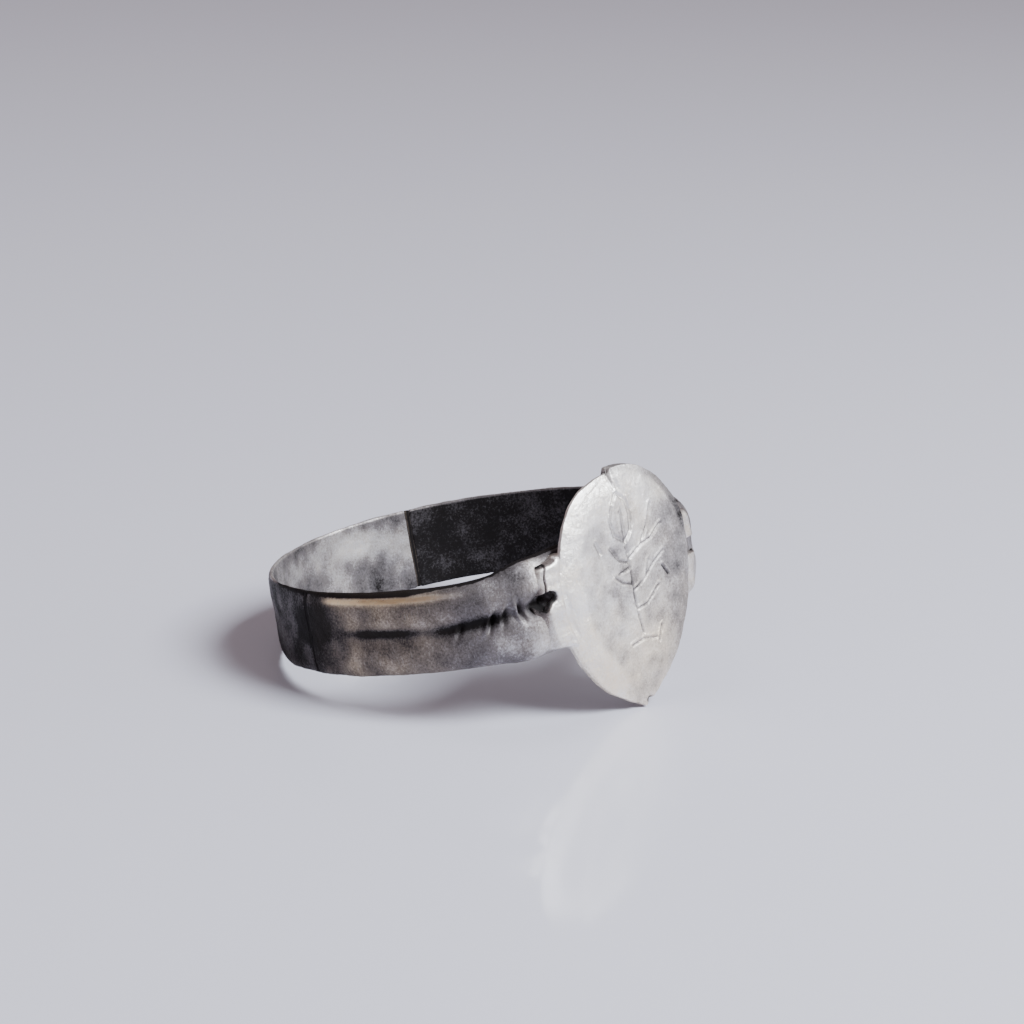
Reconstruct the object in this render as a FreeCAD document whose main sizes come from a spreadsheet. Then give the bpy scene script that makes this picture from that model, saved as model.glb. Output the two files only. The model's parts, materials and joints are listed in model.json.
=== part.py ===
"""Hand-wrought silver signet ring.

A grooved strip of silver is bent into a hoop with one flattened side.  A separate
length closes the back of the hoop and is soldered in at both ends.  A thick
pointed plate is soldered on the flattened side.  A channel in its back, over the
groove of the strip, leaves a narrow tunnel between them.

Frame: millimetres, origin at the centre of the finger bore, +Z along the finger,
the plate faces -Y.
"""
import FreeCAD, Part
import math
import os
import Sketcher

doc = FreeCAD.newDocument("SignetRing")

# ---------------------------------------------------------------- dimensions

DRIVING = [
    ("bore_radius", 9.25, "inside radius of the hoop"),
    ("band_width", 3.8, "width of the strip, along the finger"),
    ("front_crown", 0.98, "thickness of the strip at its ridges, under the plate"),
    ("side_crown", 0.62, "the same, at the side of the finger"),
    ("back_crown", 0.46, "the same, at the back of the finger"),
    ("rim_share", 0.45, "thickness of the strip's rims, as a share of its ridges"),
    ("groove_width", 0.7, "width of the groove between the ridges"),
    ("groove_share", 0.3, "depth of the groove, as a share of the strip's thickness"),
    ("flat_reach", 7.32, "from the finger axis to the flattened inner side"),
    ("bend_radius", 3.0, "inner radius of the two bends beside the flat"),
    ("insert_start", 63.0, "angle where the back length begins"),
    ("insert_end", 169.5, "angle where the back length ends"),
    ("seam_gap", 0.22, "width of each soldered seam"),
    ("seat_depth", 0.18, "metal filed off the ridges under the plate"),
    ("plate_radius", 4.5, "half width of the plate, and the radius of its top"),
    ("plate_flank", 7.4, "radius of the plate's two lower edges"),
    ("plate_lift", 0.7, "height of the plate's widest line above the bore centre"),
    ("plate_shift", 0.45, "how far the plate sits to the +X side"),
    ("plate_thickness", 0.9, "thickness of the plate"),
    ("edge_radius", 0.5, "rounding of the plate's face at its edge"),
    ("tip_radius", 1.2, "rounding of the plate's lower point"),
    ("tunnel_radius", 0.34, "radius of the channel in the plate's back"),
    ("tunnel_lift", 0.4, "height of that channel above the bore centre"),
    ("fillet_leg", 0.36, "legs of the solder at the plate's edge"),
    ("fillet_gap", 0.08, "clearance of that solder from the tunnel and the rim"),
]

DERIVED = [
    ("half_width", "=band_width / 2"),
    ("half_groove", "=groove_width / 2"),
    ("ridge_width", "=half_width - half_groove"),
    ("bend_reach", "=flat_reach - bend_radius"),
    ("bend_offset", "=sqrt((bore_radius - bend_radius) ^ 2 - bend_reach ^ 2)"),
    ("seam_angle", "=seam_gap / (bore_radius + back_crown / 2) * 57.29578"),
    ("cut_reach", "=2 * bore_radius"),
    ("seat_reach", "=flat_reach + front_crown - seat_depth"),
    ("flank_offset", "=plate_flank - plate_radius"),
    ("plate_drop", "=sqrt(plate_flank ^ 2 - flank_offset ^ 2) - plate_lift"),
    ("plate_right", "=plate_shift + plate_radius"),
    ("plate_left", "=plate_radius - plate_shift"),
    ("solder_right", "=plate_right / 2"),
    ("solder_left", "=plate_left / 2"),
    ("fillet_arc", "=fillet_leg * 1.2"),
    ("solder_gap", "=tunnel_lift + tunnel_radius + fillet_gap"),
    ("solder_run", "=half_width - solder_gap - fillet_gap"),
    ("tunnel_reach", "=seat_reach + tunnel_radius * 0.4"),
]

for place in ("front", "side", "back"):
    DERIVED += [
        (f"{place}_rim", f"={place}_crown * rim_share"),
        (f"{place}_lip", f"={place}_crown * (1 - groove_share / 2)"),
        (f"{place}_chord", f"=sqrt(({place}_lip - {place}_rim) ^ 2 + ridge_width ^ 2)"),
        (f"{place}_rise", f"={place}_crown - ({place}_lip + {place}_rim) / 2"),
        (f"{place}_ridge", f"={place}_chord ^ 2 / (8 * {place}_rise) + {place}_rise / 2"),
        (f"{place}_sag", f"={place}_crown * groove_share / 2"),
        (f"{place}_groove", f"=half_groove ^ 2 / (2 * {place}_sag) + {place}_sag / 2"),
    ]

# Where each length of the hoop begins and ends, in degrees anticlockwise from +X.
LENGTHS = {
    "shank": ("insert_end + seam_angle", "insert_start - seam_angle + 360"),
    "back_insert": ("insert_start", "insert_end"),
    "insert_solder_right": ("insert_start - seam_angle", "insert_start"),
    "insert_solder_left": ("insert_end", "insert_end + seam_angle"),
}
CUT_CORNERS = 5
for label, (start, end) in LENGTHS.items():
    DERIVED.append((f"{label}_rest", f"=360 - ({end}) + ({start})"))
    for corner in range(CUT_CORNERS):
        angle = f"({end} + {label}_rest * {corner} / {CUT_CORNERS - 1}) * 1deg"
        DERIVED.append((f"{label}_x_{corner}", f"=cut_reach * cos({angle})"))
        DERIVED.append((f"{label}_y_{corner}", f"=cut_reach * sin({angle})"))

sheet = doc.addObject("Spreadsheet::Sheet", "Dimensions")
for row, (alias, value, note) in enumerate(DRIVING, start=1):
    sheet.set(f"A{row}", alias)
    sheet.set(f"B{row}", str(value))
    sheet.set(f"C{row}", note)
    sheet.setAlias(f"B{row}", alias)
for row, (alias, formula) in enumerate(DERIVED, start=len(DRIVING) + 1):
    sheet.set(f"A{row}", alias)
    sheet.set(f"B{row}", formula)
    sheet.setAlias(f"B{row}", alias)
doc.recompute()


def dim(alias):
    """The present value of one cell, used only to draw a sketch near its answer."""
    return float(sheet.get(alias))


# ------------------------------------------------------------------- helpers


def new_body(label):
    body = doc.addObject("PartDesign::Body", label)
    body.Label = label
    return body


def origin_plane(body, role):
    return next(plane for plane in body.Origin.OriginFeatures if plane.Role == role)


def new_sketch(body, name, plane_role):
    """A sketch on one of the body's own origin planes."""
    sketch = body.newObject("Sketcher::SketchObject", name)
    sketch.AttachmentSupport = [(origin_plane(body, plane_role), "")]
    sketch.MapMode = "FlatFace"
    return sketch


def pin_point(sketch, geometry, end, across, up):
    """Ties a point to the origin by two expressions, across and up."""
    for kind, formula in (("DistanceX", across), ("DistanceY", up)):
        value = evaluate(formula)
        index = sketch.addConstraint(Sketcher.Constraint(kind, -1, 1, geometry, end, value))
        sketch.setExpression(f"Constraints[{index}]", in_sheet(formula))


def pin_height(sketch, geometry, end, up):
    index = sketch.addConstraint(
        Sketcher.Constraint("DistanceY", -1, 1, geometry, end, evaluate(up)))
    sketch.setExpression(f"Constraints[{index}]", in_sheet(up))


def set_radius(sketch, geometry, alias):
    index = sketch.addConstraint(Sketcher.Constraint("Radius", geometry, dim(alias)))
    sketch.setExpression(f"Constraints[{index}]", f"Dimensions.{alias}")


def in_sheet(formula):
    """Points every alias in a formula at the sheet."""
    words = formula.replace("(", "( ").replace(")", " )").split()
    names = {alias for alias, *_ in DRIVING + DERIVED}
    return " ".join(f"Dimensions.{word}" if word in names else word for word in words)


def evaluate(formula):
    """The value of a sum of cells, such as "flat_reach + crown_height" or "- rim_width"."""
    total = 0.0
    sign = 1.0
    for word in formula.split():
        if word == "-":
            sign = -1.0
        elif word == "+":
            sign = 1.0
        else:
            total += sign * (dim(word) if word[0].isalpha() else float(word))
            sign = 1.0
    return total


def point(across, up):
    return FreeCAD.Vector(evaluate(across), evaluate(up), 0)


def arc_between(start, end, radius, bulge):
    """The shorter arc between two points, bulging to the side that bulge points to.

    It is drawn anticlockwise, whichever way round the points are given.
    """
    chord = end - start
    middle = (start + end) * 0.5
    rise = radius - math.sqrt(radius ** 2 - (chord.Length / 2) ** 2)
    side = FreeCAD.Vector(chord.y, -chord.x, 0).normalize()
    if side.dot(bulge) < 0:
        return Part.Arc(end, middle - side * rise, start)
    return Part.Arc(start, middle + side * rise, end)


def join_ends(sketch, first, first_end, second, second_end):
    sketch.addConstraint(Sketcher.Constraint("Coincident", first, first_end, second, second_end))


def arc_end(sketch, geometry, target):
    """1 or 2: the end of an arc that lies at the target."""
    start = sketch.Geometry[geometry].StartPoint
    return 1 if start.distanceToPoint(target) < 1e-6 else 2


def strip_section(sketch, place, side, inner):
    """Section of the strip: flat inside and rims, two round ridges, groove between.

    place is front, side or back, for the thickness there; side is "" or "-", for a
    section at plus or minus the inner reach across.
    """
    minus = side == "-"

    def across(*cells):
        joiner = " - " if minus else " + "
        lead = "- " if minus else ""
        return lead + joiner.join((inner,) + cells)

    outward = FreeCAD.Vector(-1 if minus else 1, 0, 0)
    corners = [
        (across(), "- half_width"),
        (across(), "half_width"),
        (across(f"{place}_rim"), "half_width"),
        (across(f"{place}_lip"), "half_groove"),
        (across(f"{place}_lip"), "- half_groove"),
        (across(f"{place}_rim"), "- half_width"),
    ]
    spots = [point(*corner) for corner in corners]
    edges = [
        Part.LineSegment(spots[0], spots[1]),
        Part.LineSegment(spots[1], spots[2]),
        arc_between(spots[2], spots[3], dim(f"{place}_ridge"), outward),
        arc_between(spots[3], spots[4], dim(f"{place}_groove"), outward * -1),
        arc_between(spots[4], spots[5], dim(f"{place}_ridge"), outward),
        Part.LineSegment(spots[5], spots[0]),
    ]
    for edge in edges:
        sketch.addGeometry(edge, False)
    for i in range(len(edges)):
        j = (i + 1) % len(edges)
        join_ends(sketch, i, arc_end(sketch, i, spots[j]), j, arc_end(sketch, j, spots[j]))
    for i, corner in enumerate(corners):
        pin_point(sketch, i, arc_end(sketch, i, spots[i]), *corner)
    set_radius(sketch, 2, f"{place}_ridge")
    set_radius(sketch, 3, f"{place}_groove")
    set_radius(sketch, 4, f"{place}_ridge")


def plate_outline(sketch):
    """Round top, two longer arcs that meet in a low point."""
    right = point("plate_right", "plate_lift")
    left = point("- plate_left", "plate_lift")
    low = point("plate_shift", "- plate_drop")
    top = point("plate_shift", "plate_lift + plate_radius")
    sketch.addGeometry(Part.Arc(right, top, left), False)
    sketch.addGeometry(arc_between(left, low, dim("plate_flank"), FreeCAD.Vector(-1, 0, 0)), False)
    sketch.addGeometry(arc_between(low, right, dim("plate_flank"), FreeCAD.Vector(1, 0, 0)), False)
    spots = [right, left, low]
    for i in range(3):
        j = (i + 1) % 3
        join_ends(sketch, i, arc_end(sketch, i, spots[j]), j, arc_end(sketch, j, spots[j]))
    pin_point(sketch, 0, arc_end(sketch, 0, right), "plate_right", "plate_lift")
    pin_point(sketch, 0, arc_end(sketch, 0, left), "- plate_left", "plate_lift")
    pin_point(sketch, 1, arc_end(sketch, 1, low), "plate_shift", "- plate_drop")
    set_radius(sketch, 1, "plate_flank")
    set_radius(sketch, 2, "plate_flank")
    pin_height(sketch, 0, 3, "plate_lift")


def closed_polygon(sketch, corners):
    """A closed outline of straight edges, each corner pinned by two expressions."""
    spots = [point(*corner) for corner in corners]
    count = len(corners)
    for i in range(count):
        sketch.addGeometry(Part.LineSegment(spots[i], spots[(i + 1) % count]), False)
    for i, corner in enumerate(corners):
        join_ends(sketch, i, 2, (i + 1) % count, 1)
        pin_point(sketch, i, 1, *corner)


def removed_volume(body, feature):
    """Checks that a cut has taken metal away, and that its direction is right."""
    doc.recompute()
    before = feature.BaseFeature.Shape.Volume
    if feature.Shape.Volume >= before - 1e-4:
        raise RuntimeError(f"{body.Label}: {feature.Name} removes nothing")


# ------------------------------------------------------------------ the hoop


def half_route(sketch):
    """Inner line of the right half of the hoop in plan: half the flat, a bend, an arc."""
    radius = dim("bore_radius")
    bend = dim("bend_radius")
    reach = dim("bend_reach")
    offset = dim("bend_offset")
    front = FreeCAD.Vector(0, -reach - bend, 0)
    flat_end = FreeCAD.Vector(offset, -reach - bend, 0)
    bend_end = FreeCAD.Vector(offset, -reach, 0) * (radius / (radius - bend))
    side = FreeCAD.Vector(radius, 0, 0)
    back = FreeCAD.Vector(0, radius, 0)
    sketch.addGeometry(Part.LineSegment(front, flat_end), False)
    sketch.addGeometry(arc_between(flat_end, bend_end, bend, FreeCAD.Vector(1, -1, 0)), False)
    sketch.addGeometry(Part.Arc(bend_end, side, back), False)
    sketch.addConstraint(Sketcher.Constraint("Tangent", 0, 2, 1, 1))
    sketch.addConstraint(Sketcher.Constraint("Tangent", 1, 2, 2, 1))
    sketch.addConstraint(Sketcher.Constraint("Coincident", 2, 3, -1, 1))
    sketch.addConstraint(Sketcher.Constraint("PointOnObject", 0, 1, -2))
    sketch.addConstraint(Sketcher.Constraint("PointOnObject", 2, 2, -2))
    sketch.addConstraint(Sketcher.Constraint("Horizontal", 0))
    set_radius(sketch, 1, "bend_radius")
    set_radius(sketch, 2, "bore_radius")
    pin_height(sketch, 0, 1, "- flat_reach")


def whole_hoop(body):
    """The strip all round: thick under the plate, thinner toward the back."""
    route = new_sketch(body, body.Label + "Route", "XY_Plane")
    half_route(route)
    front = new_sketch(body, body.Label + "Front", "YZ_Plane")
    strip_section(front, "front", "-", "flat_reach")
    side = new_sketch(body, body.Label + "Side", "XZ_Plane")
    strip_section(side, "side", "", "bore_radius")
    back = new_sketch(body, body.Label + "Back", "YZ_Plane")
    strip_section(back, "back", "", "bore_radius")
    half = body.newObject("PartDesign::AdditivePipe", body.Label + "Half")
    half.Profile = front
    half.Spine = route
    half.Sections = [side, back]
    half.Transformation = "Multisection"
    half.Refine = False
    doc.recompute()
    both = body.newObject("PartDesign::Mirrored", body.Label + "Halves")
    both.Originals = [half]
    both.MirrorPlane = (origin_plane(body, "YZ_Plane"), [""])
    both.Refine = False
    body.Tip = both
    doc.recompute()


def make_length(label):
    """One length of the hoop: the whole strip with the rest of the circle cut away."""
    body = new_body(label)
    whole_hoop(body)
    rest = new_sketch(body, label + "Rest", "XY_Plane")
    corners = [("0", "0")]
    corners += [(f"{label}_x_{corner}", f"{label}_y_{corner}") for corner in range(CUT_CORNERS)]
    closed_polygon(rest, corners)
    cut = body.newObject("PartDesign::Pocket", label + "Cut")
    cut.Profile = rest
    cut.Type = "ThroughAll"
    cut.Midplane = True
    cut.Refine = False
    removed_volume(body, cut)
    return body


def make_shank():
    """The main length, its ridges filed flat under the plate."""
    body = make_length("shank")
    seat = new_sketch(body, "ShankSeatSection", "YZ_Plane")
    closed_polygon(seat, [
        ("- seat_reach", "- band_width"),
        ("- seat_reach", "band_width"),
        ("- seat_reach - band_width", "band_width"),
        ("- seat_reach - band_width", "- band_width"),
    ])
    filed = body.newObject("PartDesign::Pocket", "ShankSeat")
    filed.Profile = seat
    filed.Type = "ThroughAll"
    filed.Midplane = True
    filed.Refine = False
    removed_volume(body, filed)
    return body


# ------------------------------------------------------------------ the bezel


def make_plate():
    """The signet plate, its low point rounded, its back channelled by the tunnel."""
    body = new_body("bezel_plate")
    outline = new_sketch(body, "PlateOutline", "XZ_Plane")
    plate_outline(outline)
    outline.setExpression("AttachmentOffset.Base.z", "Dimensions.seat_reach")
    pad = body.newObject("PartDesign::Pad", "PlateThickness")
    pad.Profile = outline
    pad.setExpression("Length", "Dimensions.plate_thickness")
    doc.recompute()
    low_edge = next(
        f"Edge{i}" for i, edge in enumerate(pad.Shape.Edges, start=1)
        if abs(edge.CenterOfMass.x - dim("plate_shift")) < 1e-6
        and abs(edge.CenterOfMass.z + dim("plate_drop")) < 1e-6
    )
    rounded = body.newObject("PartDesign::Fillet", "PlateTip")
    rounded.Base = (pad, [low_edge])
    rounded.setExpression("Radius", "Dimensions.tip_radius")
    doc.recompute()
    front = -dim("seat_reach") - dim("plate_thickness")
    face_edges = [
        f"Edge{i}" for i, edge in enumerate(rounded.Shape.Edges, start=1)
        if edge.BoundBox.YMax < front + 1e-6
    ]
    softened = body.newObject("PartDesign::Fillet", "PlateMargin")
    softened.Base = (rounded, face_edges)
    softened.setExpression("Radius", "Dimensions.edge_radius")
    doc.recompute()

    channel = new_sketch(body, "PlateTunnelSection", "YZ_Plane")
    centre = point("- tunnel_reach", "tunnel_lift")
    channel.addGeometry(Part.Circle(centre, FreeCAD.Vector(0, 0, 1), dim("tunnel_radius")), False)
    pin_point(channel, 0, 3, "- tunnel_reach", "tunnel_lift")
    set_radius(channel, 0, "tunnel_radius")
    tunnel = body.newObject("PartDesign::Pocket", "PlateTunnel")
    tunnel.Profile = channel
    tunnel.Type = "ThroughAll"
    tunnel.Midplane = True
    removed_volume(body, tunnel)
    return body


def make_edge_solder(label, side, low):
    """Solder in the corner between the plate's edge and one ridge of the strip.

    side is "" for +X and "-" for -X; low is the height at which it begins.
    """
    body = new_body(label)
    section = new_sketch(body, label + "Section", "XY_Plane")
    sign = 1 if side == "" else -1
    edge = "plate_right" if side == "" else "- plate_left"
    inner = "solder_right" if side == "" else "- solder_left"
    outer = edge + (" + fillet_leg" if side == "" else " - fillet_leg")
    corners = [
        (outer, "- seat_reach"),
        (inner, "- seat_reach"),
        (inner, "- seat_reach - fillet_leg"),
        (edge, "- seat_reach - fillet_leg"),
    ]
    spots = [point(*corner) for corner in corners]
    for i in range(3):
        section.addGeometry(Part.LineSegment(spots[i], spots[i + 1]), False)
    hollow = FreeCAD.Vector(-sign, 1, 0)
    section.addGeometry(arc_between(spots[3], spots[0], dim("fillet_arc"), hollow), False)
    for i in range(4):
        j = (i + 1) % 4
        first = 2 if i < 3 else arc_end(section, 3, spots[0])
        second = 1 if j < 3 else arc_end(section, 3, spots[3])
        join_ends(section, i, first, j, second)
    for i, corner in enumerate(corners[:3]):
        pin_point(section, i, 1, *corner)
    pin_point(section, 3, arc_end(section, 3, spots[3]), *corners[3])
    set_radius(section, 3, "fillet_arc")
    section.setExpression("AttachmentOffset.Base.z", in_sheet(low))
    pad = body.newObject("PartDesign::Pad", label + "Run")
    pad.Profile = section
    pad.setExpression("Length", "Dimensions.solder_run")
    doc.recompute()

    outline = new_sketch(body, label + "PlateOutline", "XZ_Plane")
    plate_outline(outline)
    cut = body.newObject("PartDesign::Pocket", label + "PlateSide")
    cut.Profile = outline
    cut.Type = "ThroughAll"
    cut.Midplane = True
    removed_volume(body, cut)
    return body


# ------------------------------------------------------------------- assembly

pieces = [
    make_shank(),
    make_length("back_insert"),
    make_length("insert_solder_right"),
    make_length("insert_solder_left"),
    make_plate(),
    make_edge_solder("bezel_solder_upper_left", "-", "solder_gap"),
    make_edge_solder("bezel_solder_lower_left", "-", "- solder_gap - solder_run"),
    make_edge_solder("bezel_solder_upper_right", "", "solder_gap"),
    make_edge_solder("bezel_solder_lower_right", "", "- solder_gap - solder_run"),
]
doc.recompute()

for item in doc.Objects:
    if "Invalid" in item.State or "Error" in item.State:
        raise RuntimeError(f"{item.Name} did not recompute: {item.State}")
for body in pieces:
    if body.Shape.isNull() or not body.Shape.isValid():
        raise RuntimeError(f"{body.Label} has no valid shape")
    if len(body.Shape.Solids) != 1:
        raise RuntimeError(f"{body.Label} has {len(body.Shape.Solids)} solids")

os.makedirs("parts", exist_ok=True)
for body in pieces:
    body.Shape.exportStep(f"parts/{body.Label}.step")
    print(f"{body.Label}: {body.Shape.Volume:.3f} mm3")
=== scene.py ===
import json
import math

import bpy
from mathutils import Matrix, Vector, noise

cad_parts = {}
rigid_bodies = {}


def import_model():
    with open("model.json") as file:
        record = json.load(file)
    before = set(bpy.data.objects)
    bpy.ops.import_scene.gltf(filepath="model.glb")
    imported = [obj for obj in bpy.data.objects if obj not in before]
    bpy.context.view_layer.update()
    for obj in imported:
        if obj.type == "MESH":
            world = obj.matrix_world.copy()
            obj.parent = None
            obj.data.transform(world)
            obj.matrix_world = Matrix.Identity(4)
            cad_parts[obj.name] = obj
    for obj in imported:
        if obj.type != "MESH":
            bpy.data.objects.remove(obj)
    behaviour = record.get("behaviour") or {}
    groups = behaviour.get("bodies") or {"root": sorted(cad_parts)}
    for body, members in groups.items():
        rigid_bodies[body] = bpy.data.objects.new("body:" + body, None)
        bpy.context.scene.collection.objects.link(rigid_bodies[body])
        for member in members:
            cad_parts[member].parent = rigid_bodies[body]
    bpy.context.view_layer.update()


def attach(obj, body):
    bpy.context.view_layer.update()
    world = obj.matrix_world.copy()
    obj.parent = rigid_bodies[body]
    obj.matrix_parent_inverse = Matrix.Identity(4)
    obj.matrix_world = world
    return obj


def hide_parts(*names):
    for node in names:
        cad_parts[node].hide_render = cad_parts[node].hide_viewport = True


bpy.ops.object.select_all(action="SELECT")
bpy.ops.object.delete()
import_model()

# ---------------------------------------------------------------- the shank
# The main strip of old silver, hammered to two low ridges with a groove between,
# bent round the finger and flattened where the plate sits.  It is thick at the
# shoulders and thin toward the back, and dark tarnish stays in the groove.

mm = 0.001
bore = 9.25 * mm
flat_reach = 7.32 * mm
bend = 3.0 * mm
bend_y = -(flat_reach - bend)
bend_x = math.sqrt((bore - bend) ** 2 - bend_y ** 2)
bend_turn = math.acos(-bend_y / (bore - bend))

# Degrees anticlockwise from +X: where each seam starts, how wide it is, the plate.
right_seam, left_seam, seam_width = 61.7, 169.5, 1.3
front_turn = 270

# The drilled mouth of the tunnel at the plate's left edge, in millimetres.
mouth_across, mouth_up, mouth_radius = -4.27, 0.55, 0.28

# Half of the section: height above the inside face as a share of the strip's
# thickness there, and place across the strip in millimetres.
ridge_section = [
    (0.00, 0.00),
    (0.00, 0.80),
    (0.00, 1.60),
    (0.00, 1.93),
    (0.50, 1.95),
    (0.84, 1.76),
    (1.02, 1.08),
    (0.98, 0.48),
    (0.90, 0.00),
]


def strip_section(angle):
    """The strip's section as an open loop, 1 mm thick, at that angle round the bore."""
    lower = [(lift, -across) for lift, across in ridge_section[1:-1]]
    loop = ridge_section + lower[::-1]
    bpy.ops.object.select_all(action="DESELECT")
    bpy.ops.mesh.primitive_circle_add(vertices=len(loop), radius=mm, location=(0, 0, 0))
    section = bpy.context.object
    turn = Matrix.Rotation(angle, 4, "Z")
    for vertex, (lift, across) in zip(section.data.vertices, loop):
        vertex.co = turn @ Vector((bore + lift * mm, 0, across * mm))
    bpy.ops.object.mode_set(mode="EDIT")
    bpy.ops.mesh.select_all(action="SELECT")
    return section


def spin_on(angle, steps, centre=(0, 0, 0)):
    """Carries the selected end of the strip round a bend, anticlockwise from above."""
    bpy.ops.mesh.spin(steps=steps, angle=-angle, center=centre, axis=(0, 0, 1))


def turn_from_front(point):
    """Degrees round the ring from the middle of the plate, either way."""
    return math.degrees(math.atan2(abs(point.x), -point.y))


def smooth_step(value):
    value = min(max(value, 0), 1)
    return value * value * (3 - 2 * value)


def thickness(point):
    """The strip's thickness in millimetres: thick shoulders, a thin back."""
    return 0.28 + 0.72 * smooth_step((112 - turn_from_front(point)) / 72)


def inside_foot(point):
    """The nearest point of the inside face, and the way out from it, in plan."""
    flat = Vector((point.x, point.y, 0))
    if turn_from_front(point) >= math.degrees(bend_turn):
        outward = flat.normalized()
        return outward * bore, outward
    if abs(point.x) <= bend_x:
        return Vector((point.x, -flat_reach, 0)), Vector((0, -1, 0))
    centre = Vector((math.copysign(bend_x, point.x), bend_y, 0))
    outward = (flat - centre).normalized()
    return centre + outward * bend, outward


def draw_down(piece):
    """Thins the strip to its real thickness all round."""
    for vertex in piece.data.vertices:
        foot, outward = inside_foot(vertex.co)
        lift = (Vector((vertex.co.x, vertex.co.y, 0)) - foot).dot(outward)
        place = foot + outward * lift * thickness(vertex.co)
        vertex.co = Vector((place.x, place.y, vertex.co.z))


def shoulder_spread(across):
    """How many times wider the strip's upper half is at that place across the front."""
    return 1 + 0.17 * smooth_step((7.4 - abs(across)) / 2.6)


def widen_shoulders(piece):
    """Spreads the strip's upper half a little where it runs up to the plate."""
    for vertex in piece.data.vertices:
        if vertex.co.y < -4 * mm and vertex.co.z > 0:
            vertex.co.z *= shoulder_spread(vertex.co.x / mm)


def finish_strip(piece, levels):
    """Fills the two ends, keeps their edges firm, draws the strip down, rounds it."""
    bpy.ops.mesh.select_mode(type="EDGE")
    bpy.ops.mesh.select_all(action="DESELECT")
    bpy.ops.mesh.select_non_manifold()
    bpy.ops.transform.edge_crease(value=0.85)
    bpy.ops.mesh.edge_face_add()
    bpy.ops.mesh.select_all(action="SELECT")
    bpy.ops.mesh.remove_doubles(threshold=0.002 * mm)
    bpy.ops.mesh.normals_make_consistent(inside=False)
    bpy.ops.object.mode_set(mode="OBJECT")
    draw_down(piece)
    widen_shoulders(piece)
    rounding = piece.modifiers.new("rounding", "SUBSURF")
    rounding.levels = levels
    rounding.render_levels = levels
    bpy.ops.object.modifier_apply(modifier=rounding.name)
    bpy.ops.object.shade_smooth()


def work_surface(piece, blow):
    """Moves every point along its own normal by blow(point, normal), in millimetres."""
    mesh = piece.data
    normals = [vertex.normal.copy() for vertex in mesh.vertices]
    for vertex, normal in zip(mesh.vertices, normals):
        vertex.co += normal * (blow(vertex.co / mm, normal) * mm)
    mesh.update()


def hammered(point, coarse, fine):
    """Uneven surface left by a small hammer and long wear."""
    wide = noise.noise(point * 0.55) * coarse
    narrow = noise.noise(point * 1.9 + Vector((7, 3, 1))) * fine
    grain = noise.noise(point * 6.0 + Vector((2, 9, 4))) * fine * 0.5
    return wide + narrow + grain


def bump_at(distance, width):
    """1 at the middle, falling smoothly to 0 by about twice the width."""
    return math.exp(-((distance / width) ** 2))


def angle_of(point):
    """Degrees anticlockwise from +X, -180 to 180."""
    return math.degrees(math.atan2(point.y, point.x))


def groove_height(sweep):
    """How high the groove runs: level round the left, rising toward the plate."""
    return 0.30 * smooth_step((sweep - 210) / 30)


# Short slanting punch marks across the groove: angle round the ring, height, depth,
# lean of the slot in millimetres sideways for each millimetre up.
punch_marks = [
    (-125.4, 0.30, 0.44, -0.20),
    (-129.6, 0.25, 0.26, 0.35),
    (-133.2, 0.08, 0.30, 0.45),
    (-141.5, -0.05, 0.12, 0.45),
]


def shank_blow(point, normal):
    """The shank's worked surface: swollen shoulders, groove, punch marks and hollow."""
    move = hammered(point, 0.05, 0.02)
    if normal.dot(inside_foot(point * mm)[1]) < 0.15:
        return move * 0.6
    if point.y < -5:
        move += 0.20 * smooth_step((6.9 - abs(point.x)) / 1.7)
    angle = angle_of(point)
    groove = bump_at(point.z - groove_height(angle + 360), 0.26)
    groove *= smooth_step((angle + 152) / 14)
    move -= groove * 0.20 * smooth_step((-104 - angle) / 10)
    move -= bump_at(point.z + 0.1, 0.5) * bump_at(angle + 164, 8) * 0.06
    for mark_angle, height, depth, slant in punch_marks:
        along = math.radians(angle - mark_angle) * 9.8 - (point.z - height) * slant
        tall = bump_at(point.z - height, 0.36)
        move -= depth * bump_at(along, 0.11) * tall
        move += depth * 0.45 * bump_at(along + 0.22, 0.10) * tall
    # the drop-shaped hollow that ends the groove at the tunnel's mouth
    if point.y < -6.5 and point.x < -3.5:
        along = (point.x + 4.65) / 0.70
        up = (point.z - 0.38 - 0.20 * (point.x + 4.75)) / 0.50
        move -= 0.30 * math.exp(-(along ** 2 + up ** 2) ** 2)
        away = math.hypot(point.x - mouth_across, point.z - mouth_up) / mouth_radius
        move -= 0.75 * math.exp(-away ** 6)
    return move


shank = strip_section(math.radians(left_seam + seam_width))
shank.name = "shank_wrought"
spin_on(math.radians(front_turn - left_seam - seam_width) - bend_turn, 24)
spin_on(bend_turn, 8, (-bend_x, bend_y, 0))
flat_steps = 12
for step in range(flat_steps):
    bpy.ops.mesh.extrude_edges_move(
        TRANSFORM_OT_translate={"value": (2 * bend_x / flat_steps, 0, 0)})
spin_on(bend_turn, 8, (bend_x, bend_y, 0))
spin_on(math.radians(360 + right_seam - front_turn) - bend_turn, 26)
finish_strip(shank, 3)
work_surface(shank, shank_blow)
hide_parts("shank")
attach(shank, "root")

# ----------------------------------------------------------- the back insert
# A length of the same grooved strip that closes the back of the hoop.  It is a
# repair in a paler, more worn silver; the faint end of the painted gold highlight on
# the upper ridge reaches its left end, and a painted highlight lies on its inside.


def insert_blow(point, normal):
    """Hammered all over, a little smoother where the finger wears it."""
    move = hammered(point, 0.05, 0.02)
    if normal.dot(inside_foot(point * mm)[1]) < 0.15:
        return move * 0.6
    return move


insert = strip_section(math.radians(right_seam + seam_width))
insert.name = "back_insert_wrought"
spin_on(math.radians(left_seam - right_seam - seam_width), 28)
finish_strip(insert, 3)
work_surface(insert, insert_blow)
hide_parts("back_insert")
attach(insert, "root")

# ------------------------------------------------------ the two insert seams
# Hard solder that ran between the two lengths of strip.  It has shrunk a hair
# below them and darkened, so each seam reads as a thin crooked line.

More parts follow.
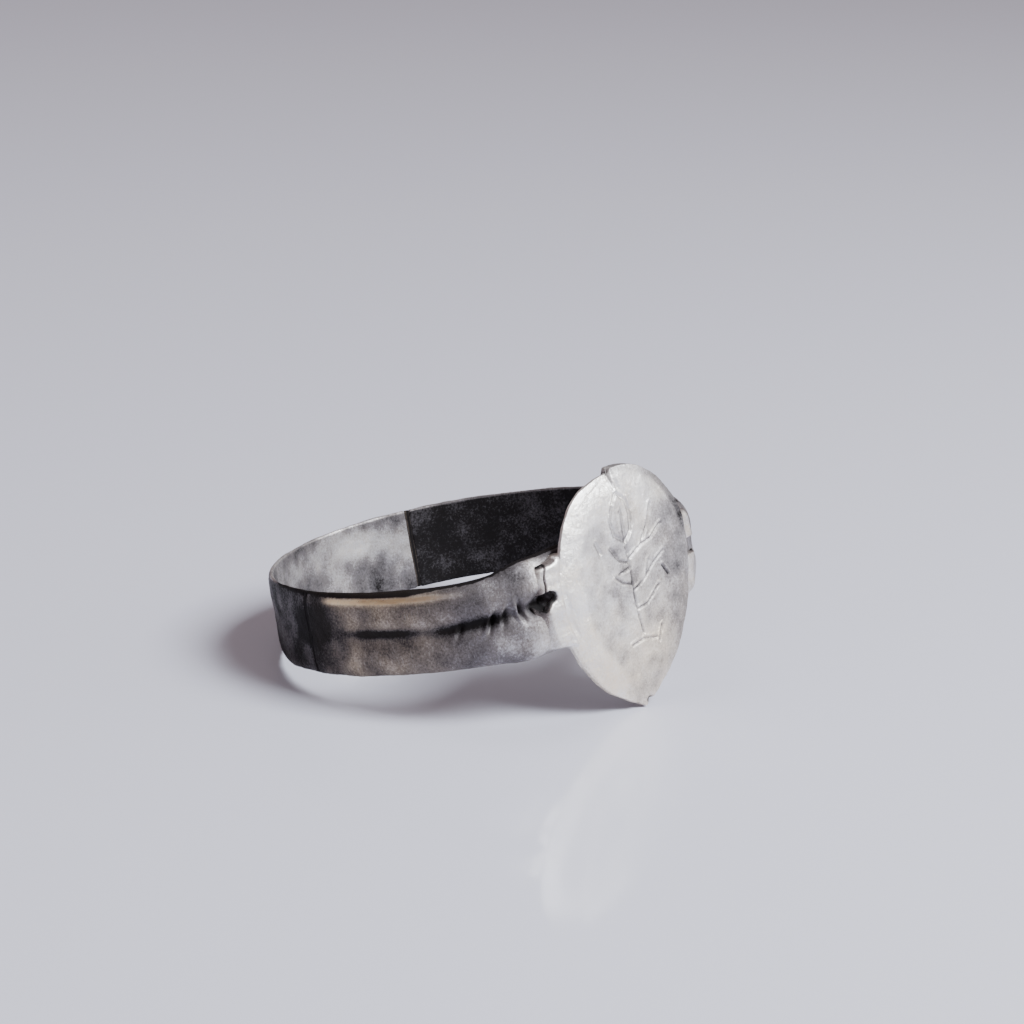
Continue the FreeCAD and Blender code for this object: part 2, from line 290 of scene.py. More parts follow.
seams = []
for name, start in (("insert_solder_right", right_seam), ("insert_solder_left", left_seam)):
    seam = strip_section(math.radians(start))
    seam.name = name + "_run"
    spin_on(math.radians(seam_width), 3)
    finish_strip(seam, 2)
    work_surface(seam, lambda point, normal: -0.01 + 0.03 * noise.noise(point * 1.5))
    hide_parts(name)
    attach(seam, "root")
    seams.append(seam)

# ---------------------------------------------------------- the signet plate
# A slab of silver sawn to a round top and a low point, its face rolled off at the
# margin by the file and by wear, engraved with a small sprig.  Its point is chipped
# and its top edge has a nick where a lap of metal has opened.

# The outline: a half round of plate_radius about (plate_shift, plate_lift), and below
# it two flanks of radius plate_flank that meet in the point.  All in millimetres.
plate_radius = 4.5
plate_lift = 0.7
plate_shift = 0.60
plate_flank = 7.4
flank_offset = plate_flank - plate_radius
plate_drop = math.sqrt(plate_flank ** 2 - flank_offset ** 2)
plate_back = 8.12
plate_thickness = 0.9
plate_front = plate_back + plate_thickness


def depth_inside(point):
    """How far a point lies inside the plate's outline, in millimetres."""
    across = abs(point.x - plate_shift)
    up = point.z - plate_lift
    if up > 0:
        return plate_radius - math.hypot(across, up)
    return plate_flank - math.hypot(across + flank_offset, up)


def near_stroke(point, start, end):
    """Distance from a point of the face to a straight stroke, and its place along it."""
    stroke = Vector((end[0] - start[0], end[1] - start[1]))
    offset = Vector((point.x - start[0], point.z - start[1]))
    share = min(max(offset.dot(stroke) / stroke.length_squared, 0), 1)
    side = stroke.x * offset.y - stroke.y * offset.x
    return math.copysign((offset - stroke * share).length, side), share


# The sprig: a stem, three pairs of leaves, a bud, and a few stray cuts, each a run
# of points across and up the face in millimetres.
sprig = [
    [(0.95, -2.6), (0.72, -1.3), (0.70, 0.1), (0.62, 1.4), (0.55, 3.2)],
    [(0.55, 1.75), (-0.05, 2.15), (-0.20, 2.85), (0.05, 3.55), (0.45, 4.05)],
    [(0.45, 4.05), (0.98, 3.60), (1.15, 2.90), (1.02, 2.20), (0.60, 1.75)],
    [(0.66, 0.75), (0.05, 1.00), (-0.40, 1.65)],
    [(0.70, 0.55), (-0.05, 0.40)],
    [(0.70, -0.25), (0.10, -0.05), (-0.30, 0.30)],
    [(0.72, 0.95), (1.55, 1.35), (2.15, 2.10), (2.55, 3.00)],
    [(1.55, 1.35), (2.35, 1.50), (3.05, 1.95)],
    [(0.72, -0.55), (1.55, -0.25), (2.30, 0.35), (3.00, 0.70)],
    [(1.70, -0.15), (1.95, 0.55)],
    [(0.75, -1.45), (1.60, -1.35), (2.45, -0.75)],
    [(0.05, -2.95), (0.90, -2.85), (1.80, -3.05)],
    [(1.95, -3.25), (2.30, -2.60)],
    [(2.85, 0.05), (3.20, -0.45)],
    [(-1.35, 2.15), (-1.05, 1.60)],
]
strokes = [(run[i], run[i + 1]) for run in sprig for i in range(len(run) - 1)]


def engraved(point):
    """Depth of the graver's cuts at a point of the face, less the burr beside them."""
    depth = 0
    for start, end in strokes:
        if min(start[0], end[0]) - 0.4 < point.x < max(start[0], end[0]) + 0.4:
            distance, share = near_stroke(point, start, end)
            if abs(distance) < 0.4:
                depth = max(depth, 0.10 * bump_at(distance, 0.055))
                depth -= 0.030 * bump_at(distance - 0.14, 0.05)
    return depth


def lap_line(point):
    """Distance across the face from the slanting edge of the lapped metal."""
    return point.x - 0.66 + 0.22 * (point.z - 4.2)


def plate_form(point):
    """Where a point of the flat slab ends up once its margins are drawn thin."""
    inside = max(depth_inside(point), 0)
    share = (-point.y - plate_back) / plate_thickness
    heavy_edge = smooth_step((point.x - 0.42) / 0.06) * smooth_step((3.6 - point.x) / 1.2)
    heavy_edge *= smooth_step((point.z - 3.2) / 0.8)
    front = plate_front - (0.30 - 0.16 * heavy_edge) * max(0, 1 - inside / 1.6) ** 2.2
    back = plate_back + 0.46 * (1 - 0.55 * heavy_edge) * max(0, 1 - inside / 1.1) ** 1.5
    reach = back + (front - back) * share
    if share > 0.5:
        reach -= 0.10 * bump_at(lap_line(point), 0.15) * smooth_step((point.z - 3.2) / 1.2)
        reach -= 0.10 * bump_at(point.x + 0.9, 0.8) * bump_at(point.z - 1.6, 1.3)
        reach -= 0.06 * bump_at(point.x - 1.9, 0.7) * bump_at(point.z + 1.9, 1.6)
        reach -= engraved(point)
    # the upper half leans over a little; the top edge is lower to the left of the nick
    across = point.x + 0.12 * smooth_step((point.z + 0.5) / 2.5)
    across += 0.16 * bump_at(point.z - 2.3, 1.1) * smooth_step((-2.0 - point.x) / 1.5)
    across -= 0.22 * smooth_step((-0.3 - point.z) / 1.5) * smooth_step((-0.2 - point.x) / 1.5)
    lower = 0.20 * smooth_step((0.46 - point.x) / 0.10) * smooth_step((point.x + 2.2) / 1.6)
    lower += 0.22 * bump_at(point.x - 0.42, 0.07)
    up = point.z - lower * smooth_step((point.z - 3.9) / 1.0)
    return Vector((across, -reach, up))


def plate_blow(point, normal):
    """Fine hammering, a chipped point and a bitten lower left edge."""
    move = hammered(point, 0.045, 0.020)
    move -= 0.20 * bump_at(point.x - 0.90, 0.20) * bump_at(point.z + 5.75, 0.16)
    move -= 0.09 * bump_at(point.x - 0.10, 0.12) * bump_at(point.z + 5.6, 0.25)
    move -= 0.07 * bump_at(point.x + 0.55, 0.10) * bump_at(point.z + 5.0, 0.25)
    if depth_inside(point) < 0.45:
        move += 0.045 * noise.noise(point * 1.3 + Vector((4, 4, 4)))
    return move


bpy.ops.object.select_all(action="DESELECT")
bpy.ops.mesh.primitive_circle_add(
    vertices=160, radius=plate_radius * mm, fill_type="NGON",
    location=(0, -plate_back * mm, plate_lift * mm), rotation=(math.pi / 2, 0, 0))
plate = bpy.context.object
plate.name = "bezel_plate_engraved"
bpy.ops.object.transform_apply(location=True, rotation=True, scale=True)
for vertex in plate.data.vertices:
    below = (plate_lift - vertex.co.z / mm) * plate_drop / plate_radius
    if below > 0:
        width = math.sqrt(max(plate_flank ** 2 - below ** 2, 0)) - flank_offset
        vertex.co.x = math.copysign(max(width, 0) * mm, vertex.co.x)
        vertex.co.z = (plate_lift - below * 0.976) * mm
    vertex.co.x += plate_shift * mm
bpy.ops.object.mode_set(mode="EDIT")
bpy.ops.mesh.select_all(action="SELECT")
bpy.ops.mesh.extrude_region_move(
    TRANSFORM_OT_translate={"value": (0, -plate_thickness * mm, 0)})
bpy.ops.mesh.select_all(action="SELECT")
bpy.ops.mesh.normals_make_consistent(inside=False)
bpy.ops.object.mode_set(mode="OBJECT")


def cut_away(piece, cutter):
    """Takes the cutter's shape out of the piece and throws the cutter away."""
    hole = piece.modifiers.new("cut", "BOOLEAN")
    hole.operation = "DIFFERENCE"
    hole.solver = "EXACT"
    hole.object = cutter
    bpy.ops.object.select_all(action="DESELECT")
    piece.select_set(True)
    bpy.context.view_layer.objects.active = piece
    bpy.ops.object.modifier_apply(modifier=hole.name)
    bpy.data.objects.remove(cutter)


# the channel along its back, and the drilled mouth at its left end
bpy.ops.object.select_all(action="DESELECT")
bpy.ops.mesh.primitive_cylinder_add(
    vertices=32, radius=0.30 * mm, depth=14 * mm,
    location=(0, -8.15 * mm, 0.48 * mm), rotation=(0, math.pi / 2, 0))
cut_away(plate, bpy.context.object)
bpy.ops.object.select_all(action="DESELECT")
bpy.ops.mesh.primitive_cylinder_add(
    vertices=40, radius=mouth_radius * mm, depth=1.6 * mm,
    location=(mouth_across * mm, -8.45 * mm, mouth_up * mm),
    rotation=(math.pi / 2, 0, math.radians(-45)))
cut_away(plate, bpy.context.object)
even = plate.modifiers.new("even mesh", "REMESH")
even.mode = "VOXEL"
even.voxel_size = 0.045 * mm
bpy.ops.object.modifier_apply(modifier=even.name)
relax = plate.modifiers.new("relax", "SMOOTH")
relax.factor = 0.5
relax.iterations = 2
bpy.ops.object.modifier_apply(modifier=relax.name)
for vertex in plate.data.vertices:
    vertex.co = plate_form(vertex.co / mm) * mm
work_surface(plate, plate_blow)
bpy.ops.object.shade_smooth()
# the strip's ridges are filed down to the seat the plate lies on
for vertex in shank.data.vertices:
    if vertex.co.y < 0 and depth_inside(vertex.co / mm) > 0.15:
        vertex.co.y = max(vertex.co.y, -(plate_back - 0.02) * mm)
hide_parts("bezel_plate")
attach(plate, "root")

# ------------------------------------------------- the solder at the plate
# Four pools of solder that flow from the plate's edge down on to the ridges of the
# strip, two on each side of the tunnel.  They were filed nearly flush.


def height_over(piece, across, up):
    """How far toward -Y a piece reaches at that place, in millimetres."""
    hit, place, _, _ = piece.ray_cast(
        Vector((across * mm, -20 * mm, up * mm)), Vector((0, 1, 0)))
    return -place.y / mm if hit else 0


def seam_crook(outward, up):
    """Distance from the crooked crack that crosses the upper left skin."""
    return outward - 0.66 - 0.16 * noise.noise(Vector((1, 2, up * 1.7)))


def make_pool(name, side, low, high):
    """A skin of solder that ramps from the plate's edge down to the strip.

    side is -1 at the plate's left and 1 at its right.  low and high give the skin's
    lower and upper edge at a distance outward from the plate's edge.
    """
    bpy.ops.object.select_all(action="DESELECT")
    bpy.ops.mesh.primitive_grid_add(x_subdivisions=64, y_subdivisions=52, size=1)
    pool = bpy.context.object
    pool.name = name + "_pool"
    round_low, round_high = (0.08, 0.30) if low(0) > 0 else (0.30, 0.08)
    least_brow = plate_front - 0.25
    for vertex in pool.data.vertices:
        outward = -0.50 + 1.70 * (vertex.co.x + 0.5)
        up = low(outward) + (high(outward) - low(outward)) * (vertex.co.y + 0.5)
        below = max(plate_lift - up, 0)
        edge = plate_flank * math.cos(math.asin(below / plate_flank)) - flank_offset
        above = max(up - plate_lift, 0)
        edge -= plate_radius - math.sqrt(plate_radius ** 2 - above ** 2)
        across = plate_shift + side * (edge + outward)
        strip = height_over(shank, across, up)
        on_plate = plate_shift + side * (edge + min(outward, -0.28))
        brow = max(height_over(plate, on_plate, up), least_brow)
        feather = 0.02 - 0.07 * smooth_step((-0.08 - outward) / 0.28)
        ramp = brow + feather - 0.20 * max(outward, 0) - 0.5 * max(outward - 0.70, 0)
        ramp -= 0.22 if side > 0 else 0
        to_top = min(max((high(outward) - up) / round_high, 0), 1)
        to_foot = min(max((up - low(outward)) / round_low, 0), 1)
        ramp -= round_high * (1 - math.sqrt(1 - (1 - to_top) ** 2))
        ramp -= round_low * (1 - math.sqrt(1 - (1 - to_foot) ** 2))
        height = math.log(math.exp(16 * strip) + math.exp(16 * ramp)) / 16
        height -= 0.13 * smooth_step((outward - 0.85) / 0.28)
        if low(0) > 0 and side < 0:
            height -= 0.14 * bump_at(seam_crook(outward, up), 0.035)
        height += 0.03 * noise.noise(Vector((across, height, up)) * 2.2)
        vertex.co = Vector((across, -height, up)) * mm
    bpy.ops.object.mode_set(mode="EDIT")
    bpy.ops.mesh.select_all(action="SELECT")
    bpy.ops.mesh.extrude_region_move(TRANSFORM_OT_translate={"value": (0, 0.3 * mm, 0)})
    bpy.ops.mesh.select_all(action="SELECT")
    bpy.ops.mesh.normals_make_consistent(inside=False)
    bpy.ops.object.mode_set(mode="OBJECT")
    bpy.ops.object.shade_smooth()
    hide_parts(name)
    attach(pool, "root")
    return pool


mouth_outward = 0.36


def mouth(outward):
    """Half height of the gap the skins leave round the drilled mouth."""
    return math.sqrt(max(0.26 ** 2 - (outward - mouth_outward) ** 2, 0))


def closing(outward):
    """How far each skin runs past the mouth's middle where they meet on the plate."""
    return 0.10 * smooth_step((0.12 - outward) / 0.04)


def upper_low(outward):
    """Lower edge of the upper skin: round the drilled mouth, then down along the hollow."""
    if outward < mouth_outward:
        return mouth_up + mouth(outward) - closing(outward)
    step_up = 0.06 * smooth_step((outward - mouth_outward) / 0.1)
    return 0.81 + step_up - 0.28 * max(outward - 0.46, 0)


def upper_high(outward):
    """Upper edge of the upper skin: it climbs the plate's edge in a small fillet."""
    return 2.02 + 0.22 * math.exp(-max(outward, 0) / 0.25)


def lower_low(outward):
    """Lower edge of the lower skin, with a smaller fillet."""
    return -1.88 - 0.25 * math.exp(-max(outward, 0) / 0.25)


def lower_high(outward):
    """Upper edge of the lower skin: round the mouth, then dipping below the hollow."""
    if outward < mouth_outward:
        return mouth_up - mouth(outward) + closing(outward)
    return 0.33 - 0.38 * bump_at(outward - 0.80, 0.30)


def right_upper_low(outward):
    """Lower edge of the upper right skin, straight along the groove."""
    return 0.62


def right_upper_high(outward):
    """Upper edge of the upper right skin, which stays below the rim."""
    return 1.90


def right_lower_high(outward):
    """Upper edge of the lower right skin, straight along the groove."""
    return -0.10


bpy.context.view_layer.update()
pools = [
    make_pool("bezel_solder_upper_left", -1, upper_low, upper_high),
    make_pool("bezel_solder_lower_left", -1, lower_low, lower_high),
    make_pool("bezel_solder_upper_right", 1, right_upper_low, right_upper_high),
    make_pool("bezel_solder_lower_right", 1, lower_low, right_lower_high),
]

# ------------------------------------------------------------- the finishes
# Old silver: bright where hands rub it, grey to black where they do not, with a thin
# brown-gold film.  Two layers, tarnish and warmth, are rubbed on to every piece by
# place; the tarnish layer also holds painted highlights and painted shade, and the
# warmth layer the gold of a painted highlight.  Fine grain in the material breaks them up.


def mask(piece, name, amount):
    """Rubs a layer of finish and painted light on to a piece: amount(point, normal) at every
    point.
    """
    layer = piece.data.attributes.new(name, "FLOAT", "POINT")
    for vertex, value in zip(piece.data.vertices, layer.data):
        value.value = max(amount(vertex.co / mm, vertex.normal), 0)


def cloud(point, size, seed):
    """Soft random patches of about that size in millimetres, -1 to 1."""
    return 1.6 * noise.noise(point / size + Vector((seed, 2 * seed, 3 * seed)))


def is_inside(point, normal):
    """Whether a point of the strip faces the finger."""
    return normal.dot(inside_foot(point * mm)[1]) < -0.35


def sweep_of(point):
    """Degrees anticlockwise from +X, 0 to 360: 62 and 170 are the seams, 270 the plate."""
    return angle_of(point) % 360


def rim_line(point, normal):
    """1 on the narrow upper rim of the strip."""
    outward = inside_foot(point * mm)[1]
    height = point.z
    if point.y < -4:
        height /= shoulder_spread(point.x)
    turned = 0.97 - 0.50 * smooth_step((-4 - point.y) / 2) - normal.dot(outward)
    return smooth_step((height - 1.70) / 0.08) * smooth_step(turned / 0.15)


def strip_tarnish_and_painted_light(point, normal):
    """How dark the strip is: black inside the shank, the rim and the hollows, lightened by a
    painted highlight inside the back and a painted gold highlight on the upper bevel at the
    left.
    """
    sweep = sweep_of(point)
    right = smooth_step((sweep - 315) / 40)
    black_rim = smooth_step((sweep - 145) / 20) * (1 - right)
    worn_rim = smooth_step((point.z - 1.80) / 0.06) * (1 - black_rim)
    if is_inside(point, normal):
        if right_seam + 0.6 < sweep < 300:
            pale = 0.69 + 0.20 * cloud(point, 1.5, 3) + 0.10 * cloud(point, 0.5, 4)
            # a painted highlight on the inside of the back
            pale -= 0.50 * bump_at(point.z - 0.9, 0.7) * bump_at(sweep - 82, 16)
            pale += 0.5 * smooth_step((point.z - 1.66) / 0.08) * black_rim - 0.2 * worn_rim
            pale += 0.25 * bump_at(point.z + 1.2, 0.9) * smooth_step((sweep - 90) / 30)
            pale += 0.25 * bump_at(point.z - 1.5, 0.25) * smooth_step((sweep - 120) / 30)
            return pale + 0.5 * smooth_step((sweep - 190) / 30)
        deep = smooth_step((335 - sweep) / 35) if sweep > 300 else 0
        return 0.98 + 0.21 * deep + 0.07 * cloud(point, 1.1, 5) - 0.35 * worn_rim
    left = max(smooth_step((250 - sweep) / 20), right)
    dark = 0.61 + 0.07 * left + (0.10 + 0.02 * left) * cloud(point, 0.9, 7)
    dark += 0.22 * max(smooth_step((182 - sweep) / 14), right)
    dark += 0.50 * bump_at(sweep - 174, 9) * bump_at(point.z - 0.3, 1.1)
    # a painted gold highlight along the upper bevel at the left
    bevel = smooth_step((224 - sweep) / 14) * smooth_step((sweep - 176) / 6)
    dark -= 0.75 * bump_at(point.z - 1.57, 0.13) * bevel
    dark += 0.75 * bump_at(point.z - 0.08, 0.18) * bump_at(sweep - 197, 9)
    dark += 0.50 * bump_at(point.z - groove_height(sweep), 0.24) * bump_at(sweep - 221, 10)
    dark += 0.08 * bump_at(sweep - 238, 12) * smooth_step((point.z - 0.5) / 0.4)
    plain = smooth_step((sweep - 222) / 20) * (1 - right)
    dark -= 0.22 * plain * smooth_step((0.0 - point.z) / 0.5)
    if point.y < -7:
        dark -= 0.35 * bump_at(point.x + 4.6, 0.5) * smooth_step((point.z - 0.9) / 0.3)
    if point.y < -7 and point.x < -3.6:
        dark += 0.25 * bump_at(point.x + 4.75, 0.6) * bump_at(point.z - 0.32, 0.34)
        dark += 0.6 * bump_at(point.x + 4.60, 0.22) * bump_at(point.z - 0.15, 0.22)
    return dark + (1.55 * black_rim - 0.45) * rim_line(point, normal)


def strip_warmth_and_highlight(point, normal):
    """Brown-gold film over the broad dark patch at the left, and the gold of a painted
    highlight along the upper ridge there.
    """
    sweep = sweep_of(point)
    if is_inside(point, normal):
        return 0.10
    film_and_highlight = smooth_step((225 - sweep) / 25) * smooth_step((sweep - 166) / 12)
    # the extra warmth along the ridge is the gold of the painted bevel highlight
    film_and_highlight *= 0.62 + 0.45 * bump_at(point.z - 1.5, 0.2) + 0.15 * cloud(point, 0.8, 8)
    return film_and_highlight + 0.12


def old_silver(name, clean, tarnished, roughness):
    """Worn silver: clean metal, grey to black tarnish, a warm film, pits, scratches, and the
    painted shade and painted highlights its layers carry.
    """
    material = bpy.data.materials.new(name)
    material.use_nodes = True
    nodes = material.node_tree.nodes
    links = material.node_tree.links
    shader = nodes["Principled BSDF"]
    place = nodes.new("ShaderNodeTexCoord")

    def grain(scale, detail, rough, stretch=(1, 1, 1), turn=(0, 0, 0)):
        mapping = nodes.new("ShaderNodeMapping")
        mapping.inputs["Scale"].default_value = stretch
        mapping.inputs["Rotation"].default_value = turn
        texture = nodes.new("ShaderNodeTexNoise")
        texture.inputs["Scale"].default_value = scale
        texture.inputs["Detail"].default_value = detail
        texture.inputs["Roughness"].default_value = rough
        links.new(place.outputs["Object"], mapping.inputs["Vector"])
        links.new(mapping.outputs["Vector"], texture.inputs["Vector"])
        return texture.outputs["Fac"]

    def calc(operation, first, second, clamp=False):
        node = nodes.new("ShaderNodeMath")
        node.operation = operation
        node.use_clamp = clamp
        for socket, value in zip(node.inputs, (first, second)):
            if isinstance(value, (int, float)):
                socket.default_value = value
            else:
                links.new(value, socket)
        return node.outputs[0]

    def blend(amount, first, second):
        node = nodes.new("ShaderNodeMix")
        node.data_type = "RGBA"
        links.new(amount, node.inputs["Factor"])
        for socket, value in ((node.inputs[6], first), (node.inputs[7], second)):
            if isinstance(value, tuple):
                socket.default_value = (*value, 1)
            else:
                links.new(value, socket)
        return node.outputs[2]

    def spread(value, low, high):
        node = nodes.new("ShaderNodeMapRange")
        node.inputs["From Min"].default_value = low
        node.inputs["From Max"].default_value = high
        links.new(value, node.inputs["Value"])
        return node.outputs["Result"]

    def rubbed(layer):
        node = nodes.new("ShaderNodeAttribute")
        node.attribute_name = layer
        return node.outputs["Fac"]

    mottle = calc("SUBTRACT", grain(1300, 7, 0.75), 0.5)
    speckle = calc("SUBTRACT", grain(9500, 3, 0.8), 0.5)
    uneven = calc("ADD", calc("MULTIPLY", mottle, 0.8), calc("MULTIPLY", speckle, 1.0))
    # the tarnish layer also brings painted shade and painted highlights, and the warm film the
    # gold of a painted highlight
    dark = calc("ADD", rubbed("tarnish_and_painted_light"), calc("MULTIPLY", uneven, 0.65), clamp=True)
    film_and_highlight = calc("ADD", rubbed("warmth_and_highlight"), calc("MULTIPLY", uneven, 0.8), clamp=True)
    scratch_a = spread(grain(2000, 2, 0.5, (9, 9, 0.7), (0.3, 0.5, 0.0)), 0.64, 0.76)
    scratch_b = spread(grain(2400, 2, 0.5, (8, 8, 0.8), (0.2, -0.7, 0.4)), 0.65, 0.78)
    bare = spread(dark, 0.9, 0.3)
    scratches = calc("MAXIMUM", scratch_a, scratch_b)
    scratches = calc("MULTIPLY", scratches, calc("MULTIPLY", bare, 0.4))
    metal = blend(spread(dark, 0.10, 0.60), clean, tarnished)
    metal = blend(spread(dark, 0.55, 1.0), metal, (0.008, 0.007, 0.008))
    tint = blend(spread(dark, 0.2, 0.9), (0.86, 0.66, 0.38), (0.06, 0.04, 0.024))
    metal = blend(calc("MULTIPLY", film_and_highlight, spread(dark, 1.15, 0.15)), metal, tint)
    metal = blend(scratches, metal, clean)
    links.new(metal, shader.inputs["Base Color"])
    links.new(spread(dark, 1.3, 0.2), shader.inputs["Metallic"])
    shader.inputs["Specular IOR Level"].default_value = 0.15
    rough = calc("ADD", calc("MULTIPLY", dark, 0.28), calc("MULTIPLY", speckle, 0.35))
    rough = calc("ADD", rough, roughness)
    links.new(calc("SUBTRACT", rough, calc("MULTIPLY", scratches, 0.2), clamp=True),
              shader.inputs["Roughness"])
    relief = nodes.new("ShaderNodeBump")
    relief.inputs["Strength"].default_value = 0.55
    relief.inputs["Distance"].default_value = 0.04 * mm
    height = calc("SUBTRACT", calc("ADD", speckle, calc("MULTIPLY", mottle, 0.8)), scratches)
    links.new(height, relief.inputs["Height"])
    links.new(relief.outputs["Normal"], shader.inputs["Normal"])
    return material


def plate_tarnish_and_painted_light(point, normal):
    """The plate is rubbed bright, and its worn left margin has a painted highlight; grey lies
    in its middle, dirt and painted shade in the cuts, and a painted highlight on the burr
    beside them.
    """
    inside = depth_inside(point)
    if normal.y > 0.4:
        return 0.62 + 0.2 * cloud(point, 1.5, 9)
    dark = 0.34 + 0.15 * cloud(point, 1.7, 10) * smooth_step(inside / 0.9)
    dark += 0.12 * cloud(point, 0.6, 14) * smooth_step(inside / 0.6)
    dark += 0.30 * smooth_step((point.x - 1.8) / 2.2)
    dark -= 0.24 * smooth_step((point.z - 2.2) / 1.2)
    dark += 0.16 * bump_at(point.x - 0.3, 2.2) * bump_at(point.z - 1.0, 2.6)
    # lighter left margin: wear and a painted highlight
    dark -= 0.42 * smooth_step((1.5 - inside) / 0.6) * smooth_step((0.2 - point.x) / 1.5)
    # darker in the cuts: dirt and painted shade
    dark += 0.32 * smooth_step((engraved(point) - 0.03) / 0.04)
    # lighter burr beside the cuts: painted highlight
    dark -= 0.12 * smooth_step((-engraved(point) - 0.006) / 0.01)
    dark += 0.75 * bump_at(point.x - 0.92, 0.20) * bump_at(point.z + 5.75, 0.14)
    edge = smooth_step((normal.y + 0.75) / 0.3) * smooth_step((point.z - 2.0) / 0.6)
    dark += 0.28 * edge
    shade = smooth_step((0.50 - inside) / 0.35) * smooth_step((point.x - 0.6) / 0.4)
    dark += 0.30 * shade * smooth_step((point.z - 0.5) / 1.5)
    dark += 0.35 * smooth_step((0.06 - inside) / 0.1) * smooth_step((0.3 - point.x) / 0.4)
    dark += 0.5 * bump_at(lap_line(point), 0.08) * smooth_step((point.z - 3.9) / 0.6)
    return dark


def plate_warmth(point, normal):
    """A little warmer toward the point."""
    warm = 0.10 + 0.28 * smooth_step((0.0 - point.z) / 3.5)
    return warm + 0.12 * cloud(point, 1.2, 11)


def solder_tarnish(point, normal):
    """Solder matches what it flows on to; a brown line crosses it to the hollow."""
    outward = -depth_inside(point)
    near_plate = smooth_step((0.95 - outward) / 0.45)
    dark = strip_tarnish_and_painted_light(point, normal) * (1 - near_plate) + near_plate * 0.04
    dark += 0.10 * cloud(point, 0.6, 12)
    if point.x < 0 and point.z > 0.6:
        dark += 0.8 * bump_at(seam_crook(outward, point.z), 0.05)
        upward = smooth_step((normal.z - 0.40) / 0.3) * smooth_step((point.z - 1.7) / 0.3)
        dark += 0.7 * upward * smooth_step(outward / 0.1)
    if abs(normal.z) > 0.6 and abs(point.z - 0.3) < 0.7:
        dark += 0.3
    if point.x > 0:
        dark += 0.20
    return dark


def right_seam_tarnish(point, normal):
    """A crooked black line down the middle of the seam."""
    crooked = sweep_of(point) - right_seam - 0.5
    crooked += 0.35 * cloud(Vector((0, 0, point.z)), 0.8, 13)
    return 0.74 + 0.50 * bump_at(crooked, 0.35)


def left_seam_tarnish(point, normal):
    """A touch darker than the strip on either side."""
    return strip_tarnish_and_painted_light(point, normal) + 0.12


def seam_warmth(point, normal):
    """The same slight warmth all along the seams."""
    return 0.18


def solder_warmth(point, normal):
    """Uneven and faint."""
    return 0.12 + 0.10 * cloud(point, 0.7, 15)


# Piece, its two layers, the colour of clean and of tarnished metal, the roughness.
finishes = [
    (shank, strip_tarnish_and_painted_light, strip_warmth_and_highlight, (0.78, 0.77, 0.79), (0.17, 0.158, 0.172), 0.34),
    (insert, strip_tarnish_and_painted_light, strip_warmth_and_highlight, (0.80, 0.79, 0.80), (0.22, 0.205, 0.218), 0.36),
    (seams[0], right_seam_tarnish, seam_warmth, (0.60, 0.58, 0.58), (0.10, 0.08, 0.07), 0.45),
    (seams[1], left_seam_tarnish, seam_warmth, (0.60, 0.58, 0.58), (0.10, 0.08, 0.07), 0.45),
    (plate, plate_tarnish_and_painted_light, plate_warmth, (0.93, 0.92, 0.91), (0.36, 0.34, 0.35), 0.42),
]
for pool in pools:
    finishes.append((pool, solder_tarnish, solder_warmth,
                     (0.86, 0.85, 0.85), (0.22, 0.19, 0.19), 0.38))
for piece, tarnish_and_painted_light, warmth_and_highlight, clean, tarnished, roughness in finishes:
    mask(piece, "tarnish_and_painted_light", tarnish_and_painted_light)
    mask(piece, "warmth_and_highlight", warmth_and_highlight)
    silver = old_silver("silver of " + piece.name, clean, tarnished, roughness)
    piece.data.materials.append(silver)

# ---------------------------------------------------------------- the floor
# The ring lies on its side: the plate's low point and the heel of the band, a
# little to the left of its middle, touch the card.

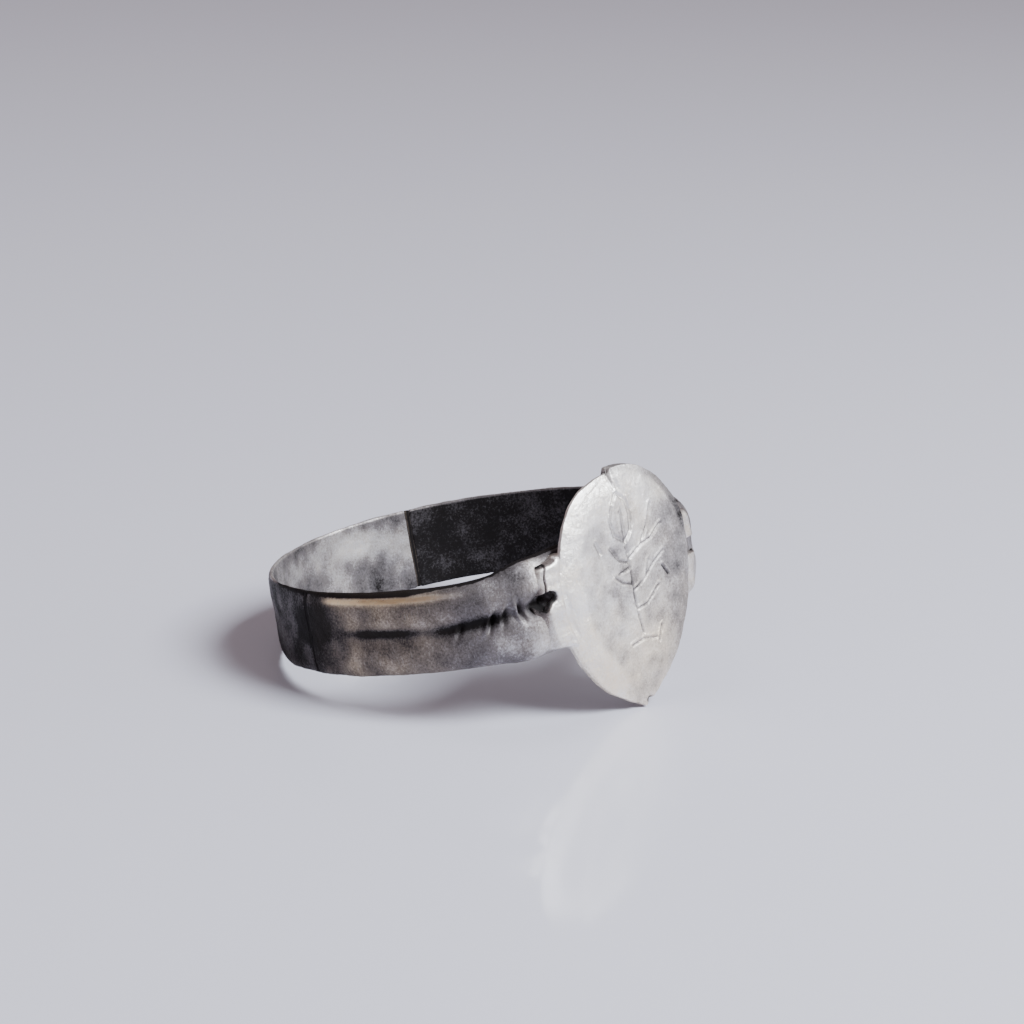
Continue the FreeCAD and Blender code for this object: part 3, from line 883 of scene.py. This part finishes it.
tip = Vector((plate_shift, -8.62, -6.0)) * mm
heel_turn = math.radians(115)
heel_reach = 9.6
heel = Vector((heel_reach * math.cos(heel_turn), heel_reach * math.sin(heel_turn), -1.95)) * mm
along_rim = Vector((-math.sin(heel_turn), math.cos(heel_turn), 0))
upright = (heel - tip).cross(along_rim).normalized()
lean = upright.to_track_quat("Z", "Y").to_euler()
bpy.ops.object.select_all(action="DESELECT")
bpy.ops.mesh.primitive_plane_add(size=1.2, location=tip, rotation=lean)
floor = bpy.context.object
floor.name = "floor"
card = bpy.data.materials.new("pale lilac card")
card.use_nodes = True
card_shader = card.node_tree.nodes["Principled BSDF"]
card_shader.inputs["Base Color"].default_value = (0.69, 0.70, 0.81, 1)
card_shader.inputs["Roughness"].default_value = 0.5
card_shader.inputs["Specular IOR Level"].default_value = 0.2
card_shader.inputs["Coat Weight"].default_value = 0.35
card_shader.inputs["Coat Roughness"].default_value = 0.07
floor.data.materials.append(card)

# ------------------------------------------------------- lights and camera
# One main softbox to the front right, a faint one overhead and a broad weak one that
# fills the plate.  The warm dim surround tints what the lights do not reach.

world = bpy.data.worlds.new("studio")
bpy.context.scene.world = world
world.use_nodes = True
world.node_tree.nodes["Background"].inputs["Color"].default_value = (1.0, 0.70, 0.69, 1)
world.node_tree.nodes["Background"].inputs["Strength"].default_value = 0.20


def soft_light(name, place, width, power, colour):
    """A square softbox that faces the ring."""
    lamp = bpy.data.lights.new(name, "AREA")
    lamp.size = width
    lamp.energy = power
    lamp.color = colour
    lantern = bpy.data.objects.new(name, lamp)
    bpy.context.collection.objects.link(lantern)
    lantern.location = place
    lantern.rotation_euler = (-Vector(place)).to_track_quat("-Z", "Y").to_euler()


soft_light("window", (0.075, -0.225, 0.165), 0.15, 1.85, (0.93, 0.97, 1.0))
soft_light("overhead", (0.02, 0.08, 0.36), 0.22, 0.25, (0.96, 0.96, 1.0))
soft_light("plate side", (0.45, -0.50, 0.02), 0.36, 0.9, (1.0, 0.98, 0.95))

camera_data = bpy.data.cameras.new("camera")
camera = bpy.data.objects.new("camera", camera_data)
bpy.context.collection.objects.link(camera)
camera.location = (-128.32 * mm, -127.25 * mm, 39.72 * mm)
camera.rotation_euler = (math.radians(78.283), math.radians(9.448), math.radians(-47.870))
camera_data.lens = 139.87
camera_data.sensor_width = 36
camera_data.clip_start = 0.001
bpy.context.scene.camera = camera
